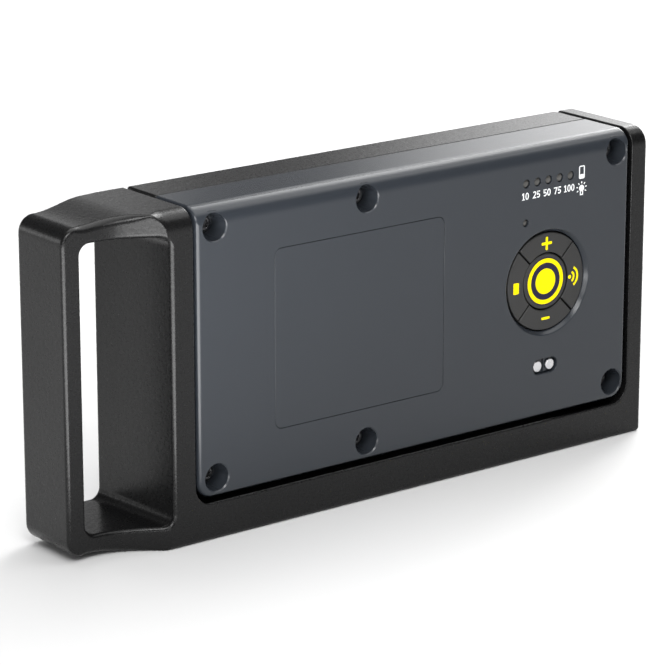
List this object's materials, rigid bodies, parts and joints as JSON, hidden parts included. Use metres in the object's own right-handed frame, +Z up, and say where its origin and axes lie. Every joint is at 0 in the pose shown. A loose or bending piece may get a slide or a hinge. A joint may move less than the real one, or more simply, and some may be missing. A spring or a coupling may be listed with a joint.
{
  "type": "portable LED floodlight",
  "caption": "Slab-shaped battery floodlight: a light head with a round keypad tilts in a U-shaped frame whose end is a carrying grip.",
  "frame": {"origin": "middle of the base on the surface that the lamp stands on", "axes": "+X along the length away from the carrying grip, -Y towards the control side, +Y towards the light side, +Z up"},
  "size_m": [0.2532, 0.042, 0.118],
  "materials": {
    "frame_plastic": "fine-grained moulded black plastic",
    "cover_plastic": "satin blue-grey moulded plastic",
    "housing_plastic": "fine-grained moulded black plastic",
    "key_rubber": "charcoal keycaps with yellow printed symbols",
    "seal_rubber": "black silicone",
    "clear_window": "clear hard-coated window",
    "smoked_lens": "smoked clear plastic",
    "reflector_plastic": "bright white reflector cups",
    "led_board_white": "white solder mask on a metal-core board",
    "heat_sink_metal": "plain finned aluminium",
    "screw_steel": "plain steel",
    "contact_metal": "bright nickel plate",
    "brass_insert": "turned brass",
    "bush_bronze": "sintered bronze",
    "washer_plastic": "grey friction plastic",
    "switch_plastic": "black moulded switch body",
    "circuit_board": "green solder mask",
    "battery_cell": null
  },
  "bodies": {
    "frame_body": {"frame": "frame_plastic", "arm_insert_left": "brass_insert", "arm_insert_right": "brass_insert", "tripod_insert": "brass_insert", "pivot_bolt_left": "screw_steel", "pivot_bolt_right": "screw_steel", "friction_washer_left": "washer_plastic", "friction_washer_right": "washer_plastic"},
    "head": {"rear_cover": "cover_plastic", "label_plate": "cover_plastic", "front_housing": "housing_plastic", "housing_seal": "seal_rubber", "front_lens": "clear_window", "lens_seal": "seal_rubber", "reflector": "reflector_plastic", "led_board": "led_board_white", "heat_sink": "heat_sink_metal", "cover_screw_1": "screw_steel", "cover_screw_2": "screw_steel", "cover_screw_3": "screw_steel", "cover_screw_4": "screw_steel", "cover_screw_5": "screw_steel", "cover_screw_6": "screw_steel", "indicator_light_guide": "smoked_lens", "status_lens": "smoked_lens", "charging_contact_1": "contact_metal", "charging_contact_2": "contact_metal", "contact_block": "housing_plastic", "contact_magnet": "contact_metal", "keypad_membrane": "seal_rubber", "power_switch": "switch_plastic", "plus_switch": "switch_plastic", "minus_switch": "switch_plastic", "battery_switch": "switch_plastic", "wireless_switch": "switch_plastic", "control_board": "circuit_board", "driver_board": "circuit_board", "battery_cell_1": "battery_cell", "battery_cell_2": "battery_cell", "battery_cell_3": "battery_cell", "battery_cell_4": "battery_cell", "battery_cell_5": "battery_cell", "battery_holder": "housing_plastic", "pivot_bush_left": "bush_bronze", "pivot_bush_right": "bush_bronze", "spring_washer_left": "screw_steel", "spring_washer_right": "screw_steel"},
    "power_key": {"power_button": "key_rubber"},
    "plus_key": {"plus_button": "key_rubber"},
    "minus_key": {"minus_button": "key_rubber"},
    "battery_key": {"battery_button": "key_rubber"},
    "wireless_key": {"wireless_button": "key_rubber"}
  },
  "joints": [
    {"name": "head_tilt", "type": "hinge", "parent": "frame_body", "child": "head", "pos_m": [0, -0.0015, 0.06675], "axis": [1, 0, 0], "range_deg": [-120, 120]},
    {"name": "power_press", "type": "slide", "parent": "head", "child": "power_key", "axis": [0, 1, 0], "range_m": [0, 0.0006], "stiffness_N_per_m": 1500, "springref_m": -0.0008},
    {"name": "plus_press", "type": "slide", "parent": "head", "child": "plus_key", "axis": [0, 1, 0], "range_m": [0, 0.0006], "stiffness_N_per_m": 1500, "springref_m": -0.0008},
    {"name": "minus_press", "type": "slide", "parent": "head", "child": "minus_key", "axis": [0, 1, 0], "range_m": [0, 0.0006], "stiffness_N_per_m": 1500, "springref_m": -0.0008},
    {"name": "battery_press", "type": "slide", "parent": "head", "child": "battery_key", "axis": [0, 1, 0], "range_m": [0, 0.0006], "stiffness_N_per_m": 1500, "springref_m": -0.0008},
    {"name": "wireless_press", "type": "slide", "parent": "head", "child": "wireless_key", "axis": [0, 1, 0], "range_m": [0, 0.0006], "stiffness_N_per_m": 1500, "springref_m": -0.0008}
  ]
}
